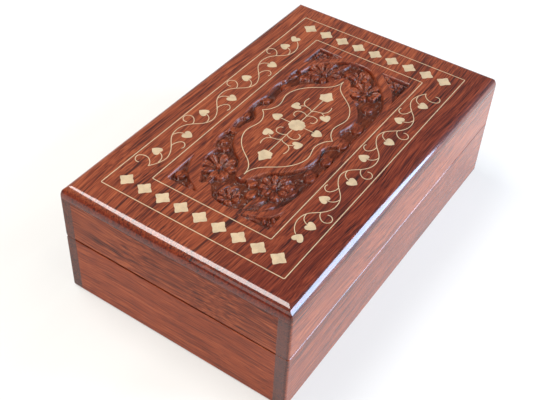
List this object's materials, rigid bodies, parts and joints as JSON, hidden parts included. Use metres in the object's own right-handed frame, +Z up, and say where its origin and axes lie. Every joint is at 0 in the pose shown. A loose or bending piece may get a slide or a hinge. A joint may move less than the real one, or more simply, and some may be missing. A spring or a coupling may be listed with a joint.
{
  "type": "card deck box",
  "caption": "Rectangular wooden card box with a hinged lid, carved and brass-inlaid on top and lined with velvet.",
  "frame": {"origin": "middle of the box's underside", "axes": "+X along the long side, +Y towards the hinges, -Y the side that opens, +Z up"},
  "size_m": [0.203, 0.127, 0.066],
  "materials": {
    "carved_top_wood": "hand-carved rosewood top, satin varnish, brown-red with dark streaks",
    "long_wall_wood": "varnished rosewood, grain lengthways",
    "end_wall_wood": "varnished rosewood, grain across the end",
    "bottom_wood": "plain rosewood board, thin varnish",
    "brass_inlay": "brass let in and sanded flush, fine scratches, satin",
    "brass_hinge": "pressed brass, worn polish",
    "brass_screws": "brass screws, polished heads",
    "velvet": "dark red velvet over card, padded"
  },
  "bodies": {
    "base": {"base_bottom_panel": "bottom_wood", "base_floor_lining": "velvet", "base_front_lining": "velvet", "base_front_wall": "long_wall_wood", "base_left_lining": "velvet", "base_left_wall": "end_wall_wood", "base_rear_lining": "velvet", "base_rear_wall": "long_wall_wood", "base_right_lining": "velvet", "base_right_wall": "end_wall_wood", "left_hinge_base_leaf": "brass_hinge", "left_hinge_base_screws": "brass_screws", "left_hinge_pin": "brass_hinge", "right_hinge_base_leaf": "brass_hinge", "right_hinge_base_screws": "brass_screws", "right_hinge_pin": "brass_hinge"},
    "lid": {"cartouche_wire": "brass_inlay", "front_vine_hearts": "brass_inlay", "front_vine_wire": "brass_inlay", "inner_border_wire": "brass_inlay", "left_diamonds": "brass_inlay", "left_hinge_lid_leaf": "brass_hinge", "left_hinge_lid_screws": "brass_screws", "lid_ceiling_lining": "velvet", "lid_front_lining": "velvet", "lid_front_wall": "long_wall_wood", "lid_left_lining": "velvet", "lid_left_wall": "end_wall_wood", "lid_rear_lining": "velvet", "lid_rear_wall": "long_wall_wood", "lid_right_lining": "velvet", "lid_right_wall": "end_wall_wood", "lid_top_panel": "carved_top_wood", "medallion_buds": "brass_inlay", "medallion_hearts": "brass_inlay", "medallion_rosette": "brass_inlay", "medallion_stems": "brass_inlay", "outer_border_wire": "brass_inlay", "rear_vine_hearts": "brass_inlay", "rear_vine_wire": "brass_inlay", "right_diamonds": "brass_inlay", "right_hinge_lid_leaf": "brass_hinge", "right_hinge_lid_screws": "brass_screws"}
  },
  "joints": [
    {"name": "lid_hinge", "type": "hinge", "parent": "base", "child": "lid", "pos_m": [0, 0.062, 0.0354], "axis": [-1, 0, 0], "range_deg": [0, 100]}
  ]
}
